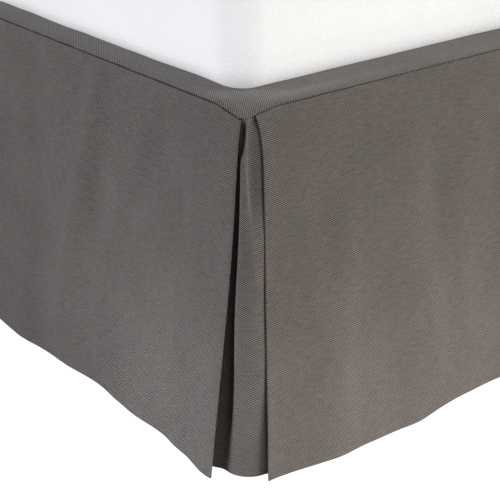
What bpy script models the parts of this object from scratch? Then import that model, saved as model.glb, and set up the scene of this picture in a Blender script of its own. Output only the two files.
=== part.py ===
"""Bed skirt on a plain single bed, in metres with +Z up.

The skirt is a flat deck that lies on the bed's base, three drop panels sewn to the deck's edge,
and one underlay behind the split at each foot corner. The base stands on four legs and carries
the mattress. The foot end faces -Y, the long sides face -X and +X, and the head end is open.
"""

import math
from collections import namedtuple

import bmesh
import bpy
from mathutils import Vector

# The bed, measured at the seam that joins the deck to the drop panels
BED_WIDTH = 0.990
BED_LENGTH = 1.905
SEAM_HEIGHT = 0.3800

# The cloth
CLOTH = 0.0016
HEM_EXTRA = 0.0008
HEM_CLEARANCE = 0.005
HEM_DIP = 0.001
TOUCH_GAP = 0.0003
SEAM_GAP = 0.0006
LAYER_GAP = 0.0006

# The deck: its corner, the turn of its edge into the seam and the sag of its foot corners
DECK_CORNER = 0.008
DECK_CORNER_GROWTH = 0.6
DECK_TURN_WIDTH = 0.010
DECK_TURN_DROP = 0.002
CORNER_SAG = 0.0065
CORNER_SAG_REACH = 0.038
CORNER_SAG_TIP = 0.001
CORNER_SAG_POWER = 1.15
DECK_HEAD_GAP = 0.020
DECK_RINGS = (0.0, 0.0015, 0.0035, 0.0065, DECK_TURN_WIDTH, 0.016, 0.024, 0.036)
DECK_MARKS = (0.005, 0.010, 0.016, 0.022, 0.028, 0.034)
DECK_ARC_STEPS = 6

# The base, its legs and the mattress
BASE_INSET = 0.006
BASE_CORNER = 0.040
BASE_TOP_EDGE = 0.015
BASE_LOW_EDGE = 0.006
LEG_HEIGHT = 0.150
LEG_INSET = 0.085
LEG_TOP_RADIUS = 0.030
LEG_FOOT_RADIUS = 0.020
LEG_SIDES = 24
MATTRESS_THICKNESS = 0.200
MATTRESS_FOOT_INSET = 0.0115
MATTRESS_SIDE_INSET = 0.0245
MATTRESS_HEAD_INSET = 0.010
MATTRESS_CORNER = 0.036
MATTRESS_TOP_EDGE = 0.032
MATTRESS_LOW_EDGE = 0.025

# The underlays: how far each wing reaches from the corner, and the corner's roundness
WING = 0.110
UNDERLAY_TOP_RADIUS = 0.008
UNDERLAY_HEM_RADIUS = 0.022
UNDERLAY_HEM_OUT = 0.0045
UNDERLAY_POWER = 1.25
WING_STEPS = 10
CORNER_STEPS = 10

# Where an underlay swells out: the place along it from its corner's middle (the foot's wing is
# below zero), half its width there, the part of the drop and half its height there
Swell = namedtuple("Swell", "along half_width depth half_depth outward")
UNDERLAY_SWELLS = (
    Swell(-0.012, 0.014, 0.50, 0.20, 0.0032),
    Swell(0.018, 0.014, 0.36, 0.18, 0.0036),
    Swell(0.018, 0.014, 0.70, 0.20, 0.0070),
    Swell(-0.044, 0.020, 1.00, 0.16, 0.0085),
    Swell(0.040, 0.020, 1.00, 0.16, 0.0060),
)

# How the blocks are divided, and the angle from which an edge counts as sharp
BLOCK_CORNER_STEPS = 6
BASE_EDGE_STEPS = 4
MATTRESS_EDGE_STEPS = 6
MATTRESS_CORNER_STEPS = 8
SHARP_ANGLE = math.radians(40.0)

# Heights in the cloth at which its rows lie, as parts of the drop
ROWS = (0.0, 0.05, 0.15, 0.32, 0.52, 0.72, 0.89, 1.0)
HEM_ROWS = 2

# How finely a drop panel is divided: places near both ends, and the pitch between them
END_PLACES = (0.0, 0.003, 0.006, 0.010, 0.015, 0.021, 0.028, 0.037, 0.048, 0.060)
FOOT_PITCH = 0.0165
SIDE_PITCH = 0.0270
EDGE_FADE = 0.060
SLANT_DEPTH = 0.050

# A soft wave of a drop panel: its place along the seam, its half width, and how far the hem
# stands out there beyond the panel's own flare
Wave = namedtuple("Wave", "along half_width outward")

# A drop panel's free edge: where it starts at the seam, how far it draws back at the hem, and
# how far it slants back just below the seam
Edge = namedtuple("Edge", "start draw_back slant")

# A drop panel: flare of its hem, how the flare grows downwards, its edges and its waves
Drop = namedtuple("Drop", "flare power edges waves")

FOOT_DROP = Drop(
    flare=0.0125,
    power=1.25,
    edges=(Edge(0.003, 0.019, 0.0), Edge(0.004, 0.014, 0.0)),
    waves=(
        Wave(0.020, 0.050, 0.0115),
        Wave(0.088, 0.022, 0.0035),
        Wave(0.170, 0.034, 0.0022),
        Wave(0.250, 0.036, -0.0046),
        Wave(0.395, 0.062, 0.0055),
        Wave(0.525, 0.050, -0.0035),
        Wave(0.640, 0.048, 0.0050),
        Wave(0.745, 0.050, -0.0040),
        Wave(0.850, 0.040, 0.0030),
        Wave(0.965, 0.045, 0.0095),
    ),
)
RIGHT_DROP = Drop(
    flare=0.0235,
    power=1.0,
    edges=(Edge(0.0185, 0.0025, 0.0048), Edge(0.0, 0.0, 0.0)),
    waves=(
        Wave(0.015, 0.036, -0.0065),
        Wave(0.103, 0.031, 0.0070),
        Wave(0.150, 0.025, 0.0035),
        Wave(0.205, 0.042, 0.0085),
        Wave(0.315, 0.045, -0.0015),
        Wave(0.455, 0.065, 0.0050),
        Wave(0.610, 0.060, -0.0060),
        Wave(0.790, 0.075, 0.0055),
        Wave(0.975, 0.065, -0.0065),
        Wave(1.140, 0.060, 0.0050),
        Wave(1.345, 0.085, -0.0070),
        Wave(1.540, 0.060, 0.0050),
        Wave(1.700, 0.060, -0.0050),
        Wave(1.860, 0.050, 0.0035),
    ),
)
LEFT_DROP = Drop(
    flare=0.0215,
    power=1.0,
    edges=(Edge(0.014, 0.005, 0.004), Edge(0.0, 0.0, 0.0)),
    waves=(
        Wave(0.020, 0.045, -0.0035),
        Wave(0.155, 0.055, 0.0080),
        Wave(0.285, 0.050, -0.0045),
        Wave(0.420, 0.060, 0.0090),
        Wave(0.590, 0.075, -0.0040),
        Wave(0.735, 0.055, 0.0060),
        Wave(0.930, 0.080, -0.0060),
        Wave(1.120, 0.070, 0.0085),
        Wave(1.290, 0.060, -0.0035),
        Wave(1.450, 0.065, 0.0060),
        Wave(1.640, 0.070, -0.0055),
        Wave(1.830, 0.060, 0.0060),
    ),
)

# Where the seams and the deck's upper face lie
DECK_HEIGHT = SEAM_HEIGHT + DECK_TURN_DROP + CLOTH
SIDE_X = BED_WIDTH / 2.0
FOOT_Y = -BED_LENGTH / 2.0
HEAD_Y = BED_LENGTH / 2.0
SIDE_LENGTH = BED_LENGTH - DECK_HEAD_GAP


def remove_all_objects():
    """Empty the scene."""
    for thing in list(bpy.data.objects):
        bpy.data.objects.remove(thing, do_unlink=True)


def finish_material(name, colour, roughness):
    """Make a plain Principled material."""
    material = bpy.data.materials.new(name)
    material.use_nodes = True
    shader = material.node_tree.nodes["Principled BSDF"]
    shader.inputs["Base Color"].default_value = (*colour, 1.0)
    shader.inputs["Roughness"].default_value = roughness
    shader.inputs["Metallic"].default_value = 0.0
    return material


def add_piece(name, mesh_data, material, stand):
    """Turn a bmesh into a named, smooth-shaded object on the stand."""
    bmesh.ops.recalc_face_normals(mesh_data, faces=mesh_data.faces)
    mesh = bpy.data.meshes.new(name)
    mesh_data.to_mesh(mesh)
    mesh_data.free()
    mesh.materials.append(material)
    mesh.shade_smooth()
    mesh.set_sharp_from_angle(angle=SHARP_ANGLE)
    piece = bpy.data.objects.new(name, mesh)
    bpy.context.collection.objects.link(piece)
    piece.parent = stand
    return piece


def closed_sheet(outer, inner):
    """Join two grids of points, the faces of one sheet, round all four edges."""
    mesh_data = bmesh.new()
    skins = [[[mesh_data.verts.new(point) for point in row] for row in skin] for skin in (outer, inner)]
    rows = len(outer)
    columns = len(outer[0])
    for skin in skins:
        for i in range(rows - 1):
            for j in range(columns - 1):
                mesh_data.faces.new((skin[i][j], skin[i][j + 1], skin[i + 1][j + 1], skin[i + 1][j]))
    rim = [(0, j) for j in range(columns - 1)]
    rim += [(i, columns - 1) for i in range(rows - 1)]
    rim += [(rows - 1, j) for j in range(columns - 1, 0, -1)]
    rim += [(i, 0) for i in range(rows - 1, 0, -1)]
    for k, (i, j) in enumerate(rim):
        p, q = rim[(k + 1) % len(rim)]
        mesh_data.faces.new((skins[0][i][j], skins[0][p][q], skins[1][p][q], skins[1][i][j]))
    return mesh_data


def rounded_outline(low, high, radius, arc_steps, end_marks=()):
    """Give the points of a rectangle with round corners, in order round it.

    The marks are distances past the end of each arc at which a straight side has extra points.
    """
    centres = (
        (high[0] - radius, high[1] - radius),
        (low[0] + radius, high[1] - radius),
        (low[0] + radius, low[1] + radius),
        (high[0] - radius, low[1] + radius),
    )
    arcs = []
    for corner, (centre_x, centre_y) in enumerate(centres):
        arc = []
        for step in range(arc_steps + 1):
            angle = math.radians(90.0) * (corner + step / arc_steps)
            arc.append(Vector((centre_x + radius * math.cos(angle), centre_y + radius * math.sin(angle))))
        arcs.append(arc)
    points = []
    for arc, following in zip(arcs, arcs[1:] + arcs[:1]):
        way = (following[0] - arc[-1]).normalized()
        points += arc
        points += [arc[-1] + way * mark for mark in end_marks]
        points += [following[0] - way * mark for mark in reversed(end_marks)]
    return points


def ring_body(rings):
    """Close a stack of rings of equal length into one body with flat ends."""
    mesh_data = bmesh.new()
    loops = [[mesh_data.verts.new(point) for point in ring] for ring in rings]
    count = len(loops[0])
    for low, high in zip(loops, loops[1:]):
        for k in range(count):
            following = (k + 1) % count
            mesh_data.faces.new((low[k], low[following], high[following], high[k]))
    mesh_data.faces.new(loops[0])
    mesh_data.faces.new(loops[-1])
    return mesh_data


def rounded_block(low, high, corner, low_edge, top_edge, edge_steps, arc_steps):
    """Make a box with round corners, its lower and upper edges rounded over."""
    levels = []
    for step in range(edge_steps + 1):
        angle = math.radians(90.0) * step / edge_steps
        levels.append((low_edge * (1.0 - math.sin(angle)), low[2] + low_edge * (1.0 - math.cos(angle))))
    for step in range(edge_steps + 1):
        angle = math.radians(90.0) * step / edge_steps
        levels.append((top_edge * (1.0 - math.cos(angle)), high[2] - top_edge * (1.0 - math.sin(angle))))
    rings = []
    for inset, height in levels:
        outline = rounded_outline(
            (low[0] + inset, low[1] + inset), (high[0] - inset, high[1] - inset), corner - inset, arc_steps
        )
        rings.append([Vector((point.x, point.y, height)) for point in outline])
    return ring_body(rings)


def turn_drop(inset):
    """How far the deck's edge has turned down at a distance in from its outline."""
    if inset >= DECK_TURN_WIDTH:
        return 0.0
    return DECK_TURN_DROP * (1.0 - max(inset, 0.0) / DECK_TURN_WIDTH) ** 2


def deck_top(x, y):
    """Height of the deck's upper face."""
    side = turn_drop(SIDE_X - abs(x))
    foot = turn_drop(y - FOOT_Y)
    distance = math.hypot(SIDE_X - abs(x), y - FOOT_Y, CORNER_SAG_TIP) - CORNER_SAG_TIP
    nearness = max(0.0, 1.0 - distance / CORNER_SAG_REACH)
    return DECK_HEIGHT - (side**3 + foot**3) ** (1.0 / 3.0) - CORNER_SAG * nearness**CORNER_SAG_POWER


def outline_recess(along):
    """How far the deck's round corner lies inside the seam's straight line."""
    if along >= DECK_CORNER:
        return 0.0
    return DECK_CORNER - math.sqrt(DECK_CORNER**2 - (DECK_CORNER - along) ** 2)


def hem_height(along, length):
    """Height of a drop panel's hem, which dips a little at its free corners."""
    nearest = min(along, length - along)
    return HEM_CLEARANCE - HEM_DIP * math.exp(-nearest / EDGE_FADE)


def panel_out(drop, along, depth):
    """How far a drop panel stands out from the seam's plane."""
    out = drop.flare * depth**drop.power
    for wave in drop.waves:
        out += wave.outward * math.exp(-(((along - wave.along) / wave.half_width) ** 2)) * depth**drop.power
    return out


def edge_draw(edge, power, distance, depth):
    """How far a panel's cloth is drawn back at a distance from its free edge."""
    slant = edge.slant * (1.0 - math.exp(-depth / SLANT_DEPTH)) * (1.0 - depth)
    return (edge.draw_back * depth**power + slant) * math.exp(-distance / EDGE_FADE)


def column_places(length, pitch):
    """Give the places along a panel's seam at which its columns stand."""
    middle = length - 2.0 * END_PLACES[-1]
    count = math.ceil(middle / pitch)
    places = list(END_PLACES)
    places += [END_PLACES[-1] + middle * step / count for step in range(1, count)]
    places += [length - place for place in reversed(END_PLACES)]
    return places


def drop_panel(name, drop, corner, along_way, out_way, length, pitch, material, stand):
    """Hang one drop panel from the deck's edge."""
    near, far = drop.edges
    places = column_places(length - near.start - far.start, pitch)
    skins = ([], [])
    for row, depth in enumerate(ROWS):
        thickness = CLOTH + (HEM_EXTRA if row >= len(ROWS) - HEM_ROWS else 0.0)
        lines = ([], [])
        for place in places:
            along = near.start + place
            placed = along + edge_draw(near, drop.power, along - near.start, depth)
            placed -= edge_draw(far, drop.power, length - far.start - along, depth)
            seam = corner + along_way * along - out_way * CLOTH * 0.5
            top = deck_top(seam.x, seam.y) - CLOTH - SEAM_GAP
            height = top + (hem_height(along, length) - top) * depth
            recess = outline_recess(min(along, length - along)) * (1.0 - depth)
            out = panel_out(drop, along, depth) - recess
            for line, inward in zip(lines, (0.0, thickness)):
                point = corner + along_way * placed + out_way * (out - inward)
                line.append(Vector((point.x, point.y, height)))
        for skin, line in zip(skins, lines):
            skin.append(line)
    return add_piece(name, closed_sheet(*skins), material, stand)


def underlay_swell(along, depth):
    """How far an underlay swells out, a distance along it from its corner's middle."""
    out = 0.0
    for swell in UNDERLAY_SWELLS:
        across = (along - swell.along) / swell.half_width
        down = (depth - swell.depth) / swell.half_depth
        out += swell.outward * math.exp(-(across**2) - down**2)
    return out


def underlay_path(depth, inward):
    """Give the plan of an underlay at one depth: wing, round corner, wing.

    The points are distances in from the two seams' planes, along the foot first.
    """
    growth = depth**UNDERLAY_POWER
    start = -(CLOTH + LAYER_GAP)
    out = start + (UNDERLAY_HEM_OUT - start) * growth
    radius = UNDERLAY_TOP_RADIUS + (UNDERLAY_HEM_RADIUS - UNDERLAY_TOP_RADIUS) * growth
    tangent = radius - out
    quarter = math.radians(90.0)
    half_arc = radius * quarter / 2.0
    turns = [(0.0, (WING - tangent) * (1.0 - step / WING_STEPS)) for step in range(WING_STEPS)]
    turns += [(quarter * step / CORNER_STEPS, 0.0) for step in range(CORNER_STEPS + 1)]
    turns += [(quarter, (WING - tangent) * step / WING_STEPS) for step in range(1, WING_STEPS + 1)]
    points = []
    for angle, wing in turns:
        along = radius * angle - half_arc + (wing if angle > 0.0 else -wing)
        reach = radius - inward + underlay_swell(along, depth)
        foot_wing = wing if angle == 0.0 else 0.0
        from_side = tangent - reach * math.sin(angle) + foot_wing
        from_foot = tangent - reach * math.cos(angle) + (wing - foot_wing)
        points.append((from_side, from_foot))
    return points


def corner_underlay(name, side, material, stand):
    """Hang the underlay behind the split at one foot corner."""
    skins = []
    for skin_inward in (0.0, CLOTH):
        top_path = underlay_path(0.0, skin_inward)
        skin = []
        for row, depth in enumerate(ROWS):
            extra = HEM_EXTRA if row >= len(ROWS) - HEM_ROWS and skin_inward > 0.0 else 0.0
            line = []
            path = underlay_path(depth, skin_inward + extra)
            for (from_side, from_foot), (top_side, top_foot) in zip(path, top_path):
                top = deck_top(SIDE_X - top_side, FOOT_Y + top_foot) - CLOTH - SEAM_GAP
                height = top + (HEM_CLEARANCE + HEM_DIP - top) * depth
                line.append(Vector((side * (SIDE_X - from_side), FOOT_Y + from_foot, height)))
            skin.append(line)
        skins.append(skin)
    return add_piece(name, closed_sheet(*skins), material, stand)


def deck(material, stand):
    """Lay the deck on the base, its edge turned down to the seam on three sides."""
    outlines = []
    for inset in DECK_RINGS:
        low = (-SIDE_X + inset, FOOT_Y + inset)
        high = (SIDE_X - inset, HEAD_Y - DECK_HEAD_GAP - inset)
        corner = DECK_CORNER + DECK_CORNER_GROWTH * inset
        outlines.append(rounded_outline(low, high, corner, DECK_ARC_STEPS, DECK_MARKS))
    rings = []
    for outline in reversed(outlines):
        rings.append([Vector((point.x, point.y, deck_top(point.x, point.y))) for point in outline])
    for outline in outlines:
        rings.append([Vector((point.x, point.y, deck_top(point.x, point.y) - CLOTH)) for point in outline])
    return add_piece("deck", ring_body(rings), material, stand)


def bed_base(material, stand):
    """Make the box base that carries the deck."""
    low = (-SIDE_X + BASE_INSET, FOOT_Y + BASE_INSET, LEG_HEIGHT)
    high = (SIDE_X - BASE_INSET, HEAD_Y, DECK_HEIGHT - CLOTH - TOUCH_GAP)
    block = rounded_block(
        low, high, BASE_CORNER, BASE_LOW_EDGE, BASE_TOP_EDGE, BASE_EDGE_STEPS, BLOCK_CORNER_STEPS
    )
    return add_piece("bed_base", block, material, stand)


def bed_legs(material, stand):
    """Turn four tapered legs and stand them under the base."""
    places = [(side, end) for end in (-1.0, 1.0) for side in (-1.0, 1.0)]
    for number, (side, end) in enumerate(places, start=1):
        mesh_data = bmesh.new()
        height = LEG_HEIGHT - TOUCH_GAP
        bmesh.ops.create_cone(
            mesh_data,
            cap_ends=True,
            segments=LEG_SIDES,
            radius1=LEG_FOOT_RADIUS,
            radius2=LEG_TOP_RADIUS,
            depth=height,
        )
        leg = add_piece(f"bed_leg_{number}", mesh_data, material, stand)
        leg.location = (side * (SIDE_X - LEG_INSET), end * (HEAD_Y - LEG_INSET), height / 2.0)


def mattress(material, stand):
    """Lay the mattress on the deck."""
    bottom = DECK_HEIGHT + TOUCH_GAP
    low = (-SIDE_X + MATTRESS_SIDE_INSET, FOOT_Y + MATTRESS_FOOT_INSET, bottom)
    high = (SIDE_X - MATTRESS_SIDE_INSET, HEAD_Y - MATTRESS_HEAD_INSET, bottom + MATTRESS_THICKNESS)
    block = rounded_block(
        low, high, MATTRESS_CORNER, MATTRESS_LOW_EDGE, MATTRESS_TOP_EDGE, MATTRESS_EDGE_STEPS,
        MATTRESS_CORNER_STEPS,
    )
    return add_piece("mattress", block, material, stand)


def centre_on_floor(stand):
    """Move the stand so that the whole bed's box is centred over the origin."""
    bpy.context.view_layer.update()
    corners = [piece.matrix_world @ Vector(corner) for piece in stand.children for corner in piece.bound_box]
    for axis in range(2):
        values = [corner[axis] for corner in corners]
        stand.location[axis] -= (min(values) + max(values)) / 2.0


def main():
    remove_all_objects()
    skirt_cloth = finish_material("skirt_cloth", (0.115, 0.105, 0.100), 0.90)
    base_cloth = finish_material("base_cloth", (0.420, 0.400, 0.370), 0.85)
    mattress_cloth = finish_material("mattress_cloth", (0.850, 0.855, 0.865), 0.80)
    leg_wood = finish_material("leg_wood", (0.380, 0.250, 0.150), 0.50)

    stand = bpy.data.objects.new("bed", None)
    bpy.context.collection.objects.link(stand)

    deck(skirt_cloth, stand)
    right_corner = Vector((SIDE_X, FOOT_Y, 0.0))
    left_corner = Vector((-SIDE_X, FOOT_Y, 0.0))
    left = Vector((-1.0, 0.0, 0.0))
    right = Vector((1.0, 0.0, 0.0))
    to_head = Vector((0.0, 1.0, 0.0))
    to_foot = Vector((0.0, -1.0, 0.0))
    drop_panel("foot_panel", FOOT_DROP, right_corner, left, to_foot, BED_WIDTH, FOOT_PITCH, skirt_cloth, stand)
    for name, drop, corner, outward in (
        ("side_panel_right", RIGHT_DROP, right_corner, right),
        ("side_panel_left", LEFT_DROP, left_corner, left),
    ):
        drop_panel(name, drop, corner, to_head, outward, SIDE_LENGTH, SIDE_PITCH, skirt_cloth, stand)
    corner_underlay("corner_underlay_right", 1.0, skirt_cloth, stand)
    corner_underlay("corner_underlay_left", -1.0, skirt_cloth, stand)
    bed_base(base_cloth, stand)
    bed_legs(leg_wood, stand)
    mattress(mattress_cloth, stand)
    centre_on_floor(stand)


main()
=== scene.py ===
"""Looks of a tailored bed skirt on a plain single bed, in metres with +Z up.

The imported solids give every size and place. Each piece of cloth is a thin sheet on its solid's
folds, with finer creases, rounded edges and a hem turned up inside. The foot end faces -Y, the
long sides face -X and +X, and the head end is open.
"""

import math
from collections import namedtuple

import bmesh
import bpy
import numpy as np
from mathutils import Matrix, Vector


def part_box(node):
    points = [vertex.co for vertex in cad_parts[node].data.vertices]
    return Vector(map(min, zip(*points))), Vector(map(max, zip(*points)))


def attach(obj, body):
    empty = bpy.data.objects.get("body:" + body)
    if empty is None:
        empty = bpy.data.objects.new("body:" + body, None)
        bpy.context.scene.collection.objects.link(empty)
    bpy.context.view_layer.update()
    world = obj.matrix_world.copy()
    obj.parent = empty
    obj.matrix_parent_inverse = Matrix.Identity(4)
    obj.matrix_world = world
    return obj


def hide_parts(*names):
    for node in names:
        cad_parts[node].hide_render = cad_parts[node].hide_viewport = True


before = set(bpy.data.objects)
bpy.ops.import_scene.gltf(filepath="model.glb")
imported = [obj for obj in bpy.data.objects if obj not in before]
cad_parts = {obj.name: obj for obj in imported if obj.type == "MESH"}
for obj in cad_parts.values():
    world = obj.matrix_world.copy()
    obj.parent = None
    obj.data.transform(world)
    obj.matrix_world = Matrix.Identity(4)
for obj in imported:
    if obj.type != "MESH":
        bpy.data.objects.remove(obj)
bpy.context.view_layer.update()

bl_info = {
    "name": "Tailored Bed Skirt",
    "version": (1, 0, 0),
    "blender": (4, 5, 0),
    "location": "3D View > Sidebar > Bed Skirt",
    "description": "Builds a tailored bed skirt on a plain single bed",
    "category": "Add Mesh",
}

BODY = "root"

# The bed, read from the deck's solid
DECK_LOW, DECK_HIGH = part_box("deck")
CENTRE_X = (DECK_LOW.x + DECK_HIGH.x) / 2.0
SIDE_X = (DECK_HIGH.x - DECK_LOW.x) / 2.0
FOOT_Y = DECK_LOW.y
DECK_HEIGHT = DECK_HIGH.z
SIDE_LENGTH = DECK_HIGH.y - DECK_LOW.y
BED_WIDTH = 2.0 * SIDE_X

# The cloth, as its solids have it
CLOTH = 0.0016
HEM_EXTRA = 0.0008
HEM_CLEARANCE = 0.005
HEM_DIP = 0.001
SEAM_GAP = 0.0004
RIM_REACH = 0.45
LAYER_GAP = 0.0006
DECK_CORNER = 0.008
DECK_CORNER_GROWTH = 0.6
DECK_TURN_WIDTH = 0.010
DECK_TURN_DROP = 0.002
CORNER_SAG = 0.0065
CORNER_SAG_REACH = 0.038
CORNER_SAG_TIP = 0.001
CORNER_SAG_POWER = 1.15
SEAM_HEIGHT = DECK_HEIGHT - CLOTH - DECK_TURN_DROP
DROP_LENGTH = SEAM_HEIGHT - SEAM_GAP - HEM_CLEARANCE

# The underlays, as their solids have them
WING = 0.110
UNDERLAY_TOP_RADIUS = 0.008
UNDERLAY_HEM_RADIUS = 0.022
UNDERLAY_HEM_OUT = 0.0045
UNDERLAY_POWER = 1.25

# Where an underlay swells out: the place along it from its corner's middle (the foot's wing is
# below zero), half its width there, the part of the drop and half its height there
Swell = namedtuple("Swell", "along half_width depth half_depth outward")
UNDERLAY_SWELLS = (
    Swell(-0.012, 0.014, 0.50, 0.20, 0.0032),
    Swell(0.018, 0.014, 0.36, 0.18, 0.0036),
    Swell(0.018, 0.014, 0.70, 0.20, 0.0070),
    Swell(-0.044, 0.020, 1.00, 0.16, 0.0085),
    Swell(0.040, 0.020, 1.00, 0.16, 0.0060),
)

# The free edges of the drop panels
EDGE_FADE = 0.060
SLANT_DEPTH = 0.050

# What is finer than the solids: the turned hems and the pull of the seam on the cloth
HEM_DEPTH = 0.041
EDGE_TURN = 0.014
EDGE_EXTRA = 0.0004
EDGE_PRESS = 0.0035
TURN_STEP = 0.002
SEAM_HOLD = 0.016
DENT_HOLD = 0.006
PUCKER_REACH = 0.011

Wave = namedtuple("Wave", "along half_width outward")
Edge = namedtuple("Edge", "start draw_back slant tip")
Fold = namedtuple("Fold", "along down to_along to_down half_width lift")
Drop = namedtuple("Drop", "flare power edges waves folds")
Ripple = namedtuple("Ripple", "along down turn lift")

RIPPLES = (
    Ripple(0.231, 0.62, 4.10, 0.00050),
    Ripple(0.142, -0.47, 0.30, 0.00040),
    Ripple(0.083, 0.31, 1.90, 0.00022),
    Ripple(0.047, -0.23, 2.20, 0.00012),
)
PUCKERS = (
    Ripple(0.0131, 1.0, 0.0, 0.00016),
    Ripple(0.0217, 1.0, 1.3, 0.00020),
    Ripple(0.0373, 1.0, 2.9, 0.00022),
)

FOOT_DROP = Drop(
    flare=0.0125,
    power=1.25,
    edges=(Edge(0.003, 0.019, 0.005, 0.4), Edge(0.004, 0.014, 0.004, 0.4)),
    waves=(
        Wave(0.020, 0.050, 0.0115),
        Wave(0.088, 0.022, 0.0035),
        Wave(0.170, 0.034, 0.0022),
        Wave(0.250, 0.036, -0.0046),
        Wave(0.395, 0.062, 0.0055),
        Wave(0.525, 0.050, -0.0035),
        Wave(0.640, 0.048, 0.0050),
        Wave(0.745, 0.050, -0.0040),
        Wave(0.850, 0.040, 0.0030),
        Wave(0.965, 0.045, 0.0095),
    ),
    folds=(
        Fold(0.230, 0.006, 0.300, 0.240, 0.017, 0.0034),
        Fold(0.296, 0.215, 0.338, 0.345, 0.020, 0.0022),
        Fold(0.202, 0.010, 0.262, 0.262, 0.018, -0.0016),
        Fold(0.130, 0.024, 0.232, 0.205, 0.016, 0.0019),
        Fold(0.104, 0.030, 0.205, 0.214, 0.017, -0.0012),
        Fold(0.064, 0.050, 0.058, 0.300, 0.013, 0.0011),
        Fold(0.354, 0.004, 0.357, 0.350, 0.022, -0.0030),
        Fold(0.098, 0.292, 0.164, 0.352, 0.013, 0.0015),
        Fold(0.478, 0.010, 0.442, 0.290, 0.020, 0.0022),
        Fold(0.566, 0.030, 0.590, 0.330, 0.018, -0.0018),
        Fold(0.700, 0.020, 0.664, 0.260, 0.019, 0.0020),
        Fold(0.806, 0.040, 0.782, 0.330, 0.017, -0.0015),
        Fold(0.884, 0.015, 0.914, 0.240, 0.016, 0.0016),
    ),
)
RIGHT_DROP = Drop(
    flare=0.0235,
    power=1.0,
    edges=(Edge(0.0140, 0.0047, 0.0105, 1.0), Edge(0.0, 0.0, 0.0, 1.0)),
    waves=(
        Wave(0.015, 0.036, -0.0065),
        Wave(0.103, 0.031, 0.0070),
        Wave(0.150, 0.025, 0.0035),
        Wave(0.205, 0.042, 0.0085),
        Wave(0.315, 0.045, -0.0015),
        Wave(0.455, 0.065, 0.0050),
        Wave(0.610, 0.060, -0.0060),
        Wave(0.790, 0.075, 0.0055),
        Wave(0.975, 0.065, -0.0065),
        Wave(1.140, 0.060, 0.0050),
        Wave(1.345, 0.085, -0.0070),
        Wave(1.540, 0.060, 0.0050),
        Wave(1.700, 0.060, -0.0050),
        Wave(1.860, 0.050, 0.0035),
    ),
    folds=(
        Fold(0.152, 0.030, 0.250, 0.048, 0.015, 0.0013),
        Fold(0.230, 0.010, 0.268, 0.300, 0.020, -0.0016),
        Fold(0.118, 0.070, 0.112, 0.330, 0.016, 0.0009),
        Fold(0.052, 0.050, 0.086, 0.240, 0.015, 0.0007),
        Fold(0.372, 0.015, 0.345, 0.280, 0.022, 0.0021),
        Fold(0.520, 0.030, 0.560, 0.310, 0.019, -0.0019),
        Fold(0.668, 0.010, 0.640, 0.240, 0.018, 0.0018),
        Fold(0.852, 0.020, 0.888, 0.330, 0.021, -0.0018),
        Fold(1.040, 0.015, 1.010, 0.250, 0.019, 0.0020),
        Fold(1.232, 0.020, 1.262, 0.330, 0.020, -0.0017),
        Fold(1.438, 0.010, 1.404, 0.270, 0.022, 0.0022),
        Fold(1.622, 0.030, 1.650, 0.320, 0.018, -0.0016),
        Fold(1.788, 0.015, 1.764, 0.260, 0.018, 0.0017),
    ),
)
LEFT_DROP = Drop(
    flare=0.0215,
    power=1.0,
    edges=(Edge(0.014, 0.005, 0.004, 1.0), Edge(0.0, 0.0, 0.0, 1.0)),
    waves=(
        Wave(0.020, 0.045, -0.0035),
        Wave(0.155, 0.055, 0.0080),
        Wave(0.285, 0.050, -0.0045),
        Wave(0.420, 0.060, 0.0090),
        Wave(0.590, 0.075, -0.0040),
        Wave(0.735, 0.055, 0.0060),
        Wave(0.930, 0.080, -0.0060),
        Wave(1.120, 0.070, 0.0085),
        Wave(1.290, 0.060, -0.0035),
        Wave(1.450, 0.065, 0.0060),
        Wave(1.640, 0.070, -0.0055),
        Wave(1.830, 0.060, 0.0060),
    ),
    folds=(
        Fold(0.070, 0.020, 0.100, 0.260, 0.017, 0.0016),
        Fold(0.214, 0.010, 0.246, 0.330, 0.020, -0.0019),
        Fold(0.362, 0.015, 0.334, 0.270, 0.019, 0.0021),
        Fold(0.516, 0.030, 0.482, 0.310, 0.018, -0.0016),
        Fold(0.676, 0.010, 0.700, 0.250, 0.020, 0.0019),
        Fold(0.842, 0.020, 0.816, 0.320, 0.021, -0.0018),
        Fold(1.014, 0.015, 1.046, 0.270, 0.018, 0.0020),
        Fold(1.206, 0.030, 1.180, 0.330, 0.019, -0.0017),
        Fold(1.366, 0.010, 1.398, 0.250, 0.020, 0.0018),
        Fold(1.552, 0.020, 1.530, 0.320, 0.018, -0.0015),
        Fold(1.738, 0.015, 1.760, 0.270, 0.019, 0.0019),
    ),
)
UNDERLAY_FOLDS = (
    Fold(0.122, 0.030, 0.118, 0.250, 0.014, 0.0006),
)
UNDERLAY_DENTS = (
    Fold(0.1080, 0.008, 0.1020, 0.034, 0.0060, -0.0085),
    Fold(0.0940, 0.030, 0.0880, 0.345, 0.0085, -0.0075),
    Fold(0.1235, 0.010, 0.1245, 0.100, 0.0080, -0.0036),
)

# How finely the sheets are divided
EDGE_MARKS = (0.0, 0.0012, 0.0026, 0.0045, 0.0070, 0.0100, 0.0125, 0.0150, 0.0190)
SEAM_MARKS = (0.0, 0.0007, 0.0016, 0.0028, 0.0043, 0.0062, 0.0086, 0.0116, 0.0152)
HEM_MARKS = (0.0, 0.0012, 0.0028, 0.0050, 0.0080, 0.0120, 0.0170, 0.0230, 0.0290, 0.0340, 0.0375, 0.0395,
             0.0408, 0.0420, 0.0440)
SIDE_ANGLES = tuple(math.radians(angle) for angle in (30.0, 60.0, 80.0))
RIM_ANGLES = tuple(math.radians(angle) for angle in (30.0, 60.0, 90.0, 120.0, 150.0))

# The camera, measured from the seams' corner on the floor
EYE_FROM_CORNER = Vector((0.86485, -0.68874, 0.74705))
EYE_DOWN = math.radians(24.14)
EYE_ROUND = math.radians(51.13)
LENS = 96.39
SENSOR = 36.0


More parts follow.
